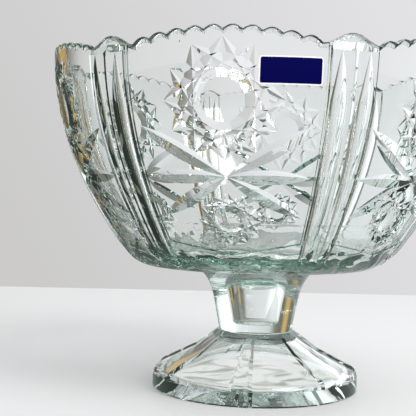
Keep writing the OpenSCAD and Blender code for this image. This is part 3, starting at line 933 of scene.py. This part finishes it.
def make_table(studio):
    """The white table top, whose back edge the photo shows."""
    table = added("table", bpy.ops.mesh.primitive_plane_add, size=1)
    wide, deep = TABLE_SIZE
    table.data.transform(Matrix.Diagonal((wide, deep, 1, 1)))
    table.data.transform(Matrix.Translation((0, studio.table_back - deep / 2, -TABLE_DROP)))
    table.data.transform(Matrix.Rotation(studio.around + studio.pan, 4, "Z"))
    table_material, tree = new_material("table_paint", Base_Color=studio.table, Roughness=0.5)
    lit = tree.nodes["Principled BSDF"].outputs["BSDF"]
    # For rays by way of the glass the table glows with painted light and shade.
    painted_light_and_shade = new_node(tree, "Emission", Color=painted_table_tone(tree, studio)).outputs["Emission"]
    both = new_node(tree, "MixShader", in_glass(tree), lit, painted_light_and_shade)
    fill(tree, tree.nodes["Material Output"], Surface=both.outputs["Shader"])
    table.data.materials.append(table_material)
    table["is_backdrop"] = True


def painted_table_tone(tree, studio):
    """The table as only the glass shows it, a glow of painted light and shade: painted shade near
    the camera and on the left, and inside the foot a bright tone with streaks of painted shade."""
    vector, x, y, _ = coordinates(tree, "Object")
    across = ramp(tree, TABLE_SHADE_ACROSS, between(tree, x, -TONED, TONED))
    deep = ramp(tree, TABLE_SHADE_DEEP, between(tree, y, -TONED, TONED))
    tone = blend(tree, 1.0, across, deep, "MULTIPLY")
    out = maths(tree, "ADD", maths(tree, "MULTIPLY", x, x), maths(tree, "MULTIPLY", y, y))
    inside = between(tree, out, FOOT_OUT**2, FOOT_IN**2)
    shade_streaks = between(tree, clouds(tree, vector, *SHADE_STREAKS), *SHADE_STREAKED)
    below = blend(tree, shade_streaks, studio.under_foot, studio.under_foot_dim)
    return blend(tree, inside, tone, below)


def ramp(tree, stops, value):
    """The colour for a value on a ramp through (place, (r, g, b)) stops."""
    node = new_node(tree, "ValToRGB", value)
    elements = node.color_ramp.elements
    while len(elements) < len(stops):
        elements.new(0.5)
    for element, (place, tone) in zip(elements, stops):
        element.position = place
        element.color = (*tone, 1)
    return node.outputs["Color"]


def make_world(studio):
    """A pale wall that the camera sees, in a room with a bright window side and a dark side that
    lights nothing and shows only in the glass, as painted reflections.
    """
    world = bpy.data.worlds.new("room")
    bpy.context.scene.world = world
    world.use_nodes = True
    tree = world.node_tree
    _, across, deep, height = coordinates(tree, "Generated")
    turn = maths(tree, "ARCTAN2", across, deep)
    sides = ramp(tree, ROOM, between(tree, turn, -pi, pi))
    window = blend(tree, between(tree, across, *WINDOW_ACROSS), *WINDOW)
    room = blend(tree, between(tree, height, *WINDOW_HIGH), sides, window)
    room = blend(tree, between(tree, height, *CEILING_HIGH), room, studio.ceiling)
    slope = maths(tree, "ADD", across, maths(tree, "MULTIPLY", height, WALL_CLIMB))
    wall = blend(tree, between(tree, slope, *WALL_FADE), studio.back_left, studio.back_right)
    # Only the glass sees the room, as painted reflections; all else is lit by the even daylight.
    seen = blend(tree, in_glass(tree), studio.daylight, room)
    camera = new_node(tree, "LightPath").outputs["Is Camera Ray"]
    fill(tree, tree.nodes["Background"], Color=blend(tree, camera, seen, wall))


# Directions in which the tones of the room change, as parts of a unit vector.
WINDOW_ACROSS = (-0.6, 0.2)
WINDOW_HIGH = (0.22, 0.4)
CEILING_HIGH = (0.5, 0.8)
WALL_FADE = (-0.42, 0.2)
WALL_CLIMB = 0.5  # how much of the height counts in that fade
# The painted reflections high in the room, on the left and on the right.
WINDOW = ((0.5, 0.5, 0.52), (1.2, 1.22, 1.25))
# Painted reflections low round the room, in turns from behind the camera: 0.25 left, 0.5 the back
# wall, 0.75 right.
ROOM = (
    (0.0, (0.55, 0.55, 0.56)),
    (0.14, (0.45, 0.45, 0.46)),
    (0.2, (0.4, 0.4, 0.4)),
    (0.29, (0.4, 0.4, 0.38)),
    (0.32, (0.06, 0.05, 0.03)),
    (0.345, (0.14, 0.1, 0.05)),
    (0.36, (0.62, 0.4, 0.12)),
    (0.375, (0.62, 0.4, 0.12)),
    (0.39, (0.14, 0.12, 0.08)),
    (0.415, (0.2, 0.19, 0.17)),
    (0.435, (0.68, 0.68, 0.67)),
    (0.47, (0.8, 0.8, 0.81)),
    (0.52, (0.88, 0.88, 0.9)),
    (0.56, (1.3, 1.3, 1.32)),
    (0.64, (1.3, 1.3, 1.32)),
    (0.7, (0.8, 0.8, 0.82)),
    (0.78, (0.5, 0.5, 0.5)),
    (0.82, (0.06, 0.06, 0.07)),
    (0.87, (0.5, 0.5, 0.5)),
    (1.0, (0.55, 0.55, 0.56)),
)
TABLE_SIZE = (4, 2.4)
TABLE_DROP = 0.03 * MM
FOOT_OUT, FOOT_IN = 58 * MM, 52 * MM  # where the painted light inside the foot starts and is full
SHADE_STREAKS = (32.0, 2.0)  # the scale and the distortion of the painted shade streaks there
SHADE_STREAKED = (0.45, 0.62)  # the part of their noise in which they come up
TONED = 0.5  # the painted shade below runs from minus this to this, in metres from the axis
# Painted shade of the table as the glass shows it, across from left to right and in depth from the
# camera to the back.
TABLE_SHADE_ACROSS = (
    (0.25, (0.2, 0.2, 0.18)),
    (0.39, (0.26, 0.27, 0.25)),
    (0.45, (0.45, 0.46, 0.45)),
    (0.55, (0.62, 0.63, 0.63)),
    (0.8, (0.88, 0.89, 0.89)),
)
TABLE_SHADE_DEEP = (
    (0.0, (0.05, 0.05, 0.03)),
    (0.38, (0.05, 0.05, 0.03)),
    (0.41, (0.5, 0.56, 0.52)),
    (0.48, (0.8, 0.95, 0.87)),
    (0.56, (1.0, 1.0, 1.0)),
)
LAMP_PLACE = Vector((0.9, -0.7, 1.1))
LAMP_TARGET = Vector((0, 0, 0.1))
LAMP_SIZE = (0.7, 0.9)


def make_lamp(studio):
    """The soft light of the window."""
    light = bpy.data.lights.new("window", "AREA")
    light.shape = "RECTANGLE"
    light.size, light.size_y = LAMP_SIZE
    light.energy = studio.lamp_power
    lamp = link(bpy.data.objects.new("window", light))
    lamp.location = LAMP_PLACE
    lamp.rotation_euler = (LAMP_TARGET - LAMP_PLACE).to_track_quat("-Z", "Y").to_euler()


def sight(studio):
    """Place and turn of the photo's camera."""
    out = studio.distance
    place = (out * sin(studio.around), -out * cos(studio.around), studio.height)
    turn = (
        Matrix.Rotation(studio.around + studio.pan, 4, "Z")
        @ Matrix.Rotation(pi / 2 + studio.pitch, 4, "X")
        @ Matrix.Rotation(studio.roll, 4, "Z")
    )
    return Matrix.Translation(place) @ turn


def make_camera(studio):
    """The camera of the photo."""
    data = bpy.data.cameras.new("camera")
    data.sensor_fit = "AUTO"
    data.sensor_width = SENSOR
    data.lens = studio.lens
    camera = link(bpy.data.objects.new("camera", data))
    camera.matrix_world = sight(studio)
    bpy.context.scene.camera = camera
    bpy.context.scene.view_settings.view_transform = "Standard"


# ---------------- places in the photo

SENSOR = 36
PHOTO = (416, 416)
LONG = max(PHOTO)
POINTS = {
    "left": (53.0, None),
    "top": (None, 22.2),
    "bottom": (None, 408.5),
    "foot left": (152.8, None),
    "foot right": (356.5, None),
    "stem left": (200.0, None),
    "stem right": (310.0, None),
    "star": (224.5, 178.2),
    "hobstar button": (220.3, 100.5),
    "left peak": (108.9, 35.1),
    "right peak": (354.0, 32.0),
    "label upper left": (260.6, 54.8),
    "label upper right": (325.4, 58.2),
    "label lower right": (323.3, 87.1),
    "label lower left": (259.9, 83.0),
    "upper seed": (178.4, 40.6),
    "lower seed": (207.9, 230.9),
}


def onto(piece, x, y):
    """The place on a finished piece that shows at an image point, and its normal there."""
    studio = settings("studio")
    eye = sight(studio)
    ray = Vector((x - PHOTO[0] / 2, PHOTO[1] / 2 - y, -LONG * studio.lens / SENSOR))
    ray = (eye.to_3x3() @ ray).normalized()
    surface = BVHTree.FromObject(piece, bpy.context.evaluated_depsgraph_get())
    place, normal, _, _ = surface.ray_cast(eye.translation, ray)
    if place is None:
        # The nearest place on it to the line of sight, looked for every 2 mm.
        reach = [0.4 + 2 * MM * i for i in range(200)]
        nearest = [surface.find_nearest(eye.translation + ray * step) for step in reach]
        place, normal, _, _ = min(nearest, key=lambda hit: hit[3])
    return place, normal


def shown(place):
    """The image point at which a place shows."""
    studio = settings("studio")
    x, y, z = sight(studio).inverted() @ Vector(place)
    size = LONG * studio.lens / SENSOR / -z
    return PHOTO[0] / 2 + x * size, PHOTO[1] / 2 - y * size


def write_points(seeds):
    """Finds where each thing shows and pairs it, in x and y, with its point in the photo."""
    bowl, pattern = settings("bowl"), settings("pattern")
    wall = Wall(bowl, pattern)
    seen = {}
    for name in ("bowl", "stem", "foot"):
        vertices = bpy.data.objects[name + "_glass"].data.vertices
        seen[name] = [shown(vertex.co) for vertex in vertices]
    every = [point for points in seen.values() for point in points]
    found = {
        "left": min(every),
        "top": min(every, key=lambda point: point[1]),
        "bottom": max(every, key=lambda point: point[1]),
        "star": shown(wall.spot(pattern.star_h, 0, 0, 0)),
        "hobstar button": shown(wall.spot(pattern.hob_h, 0, 0, 0)),
        "upper seed": shown(seeds[0]),
        "lower seed": shown(seeds[1]),
    }
    for name in ("foot", "stem"):
        found[name + " left"], found[name + " right"] = min(seen[name]), max(seen[name])
    for name, side in (("left peak", -1), ("right peak", 1)):
        turn = side * pi / pattern.panels
        near = [
            vertex.co
            for vertex in bpy.data.objects["bowl_glass"].data.vertices
            if abs(atan2(vertex.co.x, -vertex.co.y) - turn) < pattern.pilaster / 2
        ]
        found[name] = shown(max(near, key=lambda co: co.z))
    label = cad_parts["label_backing"]
    corners = [shown(label.matrix_world @ vertex.co) for vertex in label.data.vertices]
    for name, right, down in (
        ("label upper left", -1, -1),
        ("label upper right", 1, -1),
        ("label lower right", 1, 1),
        ("label lower left", -1, 1),
    ):
        found[name] = max(corners, key=lambda point: right * point[0] + down * point[1])
    for name, point in POINTS.items():
        both = [pair for pair in zip("xy", found[name], point) if pair[2] is not None]


# ---------------- operators


SEEDS = []  # the places on the bowl's face over its two seeds
SEED_STRETCH = 1.25
BOWL_WAVES = (34 * MM, 12 * MM, 48, 3.0 * MM)
FOOT_WAVES = (30 * MM, 2 * MM, 35, 0.5 * MM)
SOFT, STEM_SOFT = 16, 30  # faces that meet at less than so many degrees shade as one


def add_seed(glass_piece, place, radius):
    """A seed: a small air bubble closed in the glass."""
    ball = {"segments": 16, "ring_count": 10, "radius": radius}
    bubble = added("seed", bpy.ops.mesh.primitive_uv_sphere_add, **ball)
    bubble.data.transform(Matrix.Translation(place) @ Matrix.Diagonal((1, 1, SEED_STRETCH, 1)))
    cut(glass_piece, [bubble])


class GLASS_OT_bowl(bpy.types.Operator):
    """Add the pressed glass bowl with its cut pattern"""

    bl_idname = "glass.bowl"
    bl_label = "Bowl"

    def execute(self, context):
        look = settings("look")
        bowl = make_bowl()
        SEEDS.clear()
        for name in ("upper seed", "lower seed"):
            place, normal = onto(bowl, *POINTS[name])
            SEEDS.append(place)
            add_seed(bowl, place - normal * look.seed_deep, look.seed / 2)
        smooth(bowl, SOFT)
        material = glass("bowl_glass", look, look.density, BOWL_WAVES, corner("bowl", 0, 2))
        finish(bowl, material, "bowl", slot="bowl_glass")
        return {"FINISHED"}


class GLASS_OT_stand(bpy.types.Operator):
    """Add the stem, the foot and the bond films"""

    bl_idname = "glass.stand"
    bl_label = "Stem and foot"

    def execute(self, context):
        look, stand = settings("look"), settings("stand")
        stem = smooth(make_stem(), STEM_SOFT)
        material = glass("stem_glass", look, look.stand_density)
        finish(stem, material, "stem", slot="stem_glass")
        foot = smooth(make_foot(), SOFT)
        material = glass("foot_glass", look, look.stand_density, FOOT_WAVES)
        finish(foot, material, "foot", slot="foot_glass")
        resin = glass("clear_resin", look, 0.0)
        for node, inner in (("upper_bond", stand.well_r), ("lower_bond", 0)):
            finish(make_bond(node, inner), resin, node, slot="bond_film")
        return {"FINISHED"}


class GLASS_OT_label(bpy.types.Operator):
    """Finish the plain label's two films"""

    bl_idname = "glass.label"
    bl_label = "Label"

    def execute(self, context):
        look = settings("look")
        for node, tone, roughness in (
            ("label_backing", look.white, 0.35),
            ("label_face", look.navy, 0.25),
        ):
            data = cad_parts[node].data
            data.materials.clear()
            data.materials.append(film(node, tone, roughness))
        return {"FINISHED"}


class GLASS_OT_stage(bpy.types.Operator):
    """Add the table, the room, the lamp and the camera"""

    bl_idname = "glass.stage"
    bl_label = "Table and camera"

    def execute(self, context):
        studio = settings("studio")
        make_table(studio)
        make_world(studio)
        make_lamp(studio)
        make_camera(studio)
        return {"FINISHED"}


class GLASS_PT_panel(bpy.types.Panel):
    """The punch bowl's sizes and its pieces"""

    bl_label = "Punch Bowl"
    bl_idname = "GLASS_PT_panel"
    bl_space_type = "VIEW_3D"
    bl_region_type = "UI"
    bl_category = "Glass"

    def draw(self, context):
        for operator in OPERATORS:
            self.layout.operator(operator.bl_idname)
        for name, group in GROUPS.items():
            box = self.layout.box()
            box.label(text=group.__doc__)
            for key in group.__annotations__:
                box.prop(settings(name), key, text=label_of(key))


GROUPS = {
    "bowl": BowlSizes,
    "pattern": PatternSizes,
    "stand": StandSizes,
    "look": GlassLook,
    "studio": Studio,
}
OPERATORS = (GLASS_OT_stage, GLASS_OT_bowl, GLASS_OT_stand, GLASS_OT_label)


def register():
    for cls in (*GROUPS.values(), *OPERATORS, GLASS_PT_panel):
        bpy.utils.register_class(cls)
    for name, group in GROUPS.items():
        setattr(bpy.types.Scene, "bowl_" + name, PointerProperty(type=group))


def unregister():
    for name in GROUPS:
        delattr(bpy.types.Scene, "bowl_" + name)
    for cls in (GLASS_PT_panel, *OPERATORS, *GROUPS.values()):
        bpy.utils.unregister_class(cls)


def main():
    register()
    bpy.ops.glass.stage()
    bpy.ops.glass.bowl()
    bpy.ops.glass.stand()
    bpy.ops.glass.label()
    write_points(SEEDS)
    boxes = {"cad": cad_box, "visual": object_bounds()}
    {k: [list(c) for c in v] for k, v in boxes.items()}


if __name__ == "__main__":
    main()
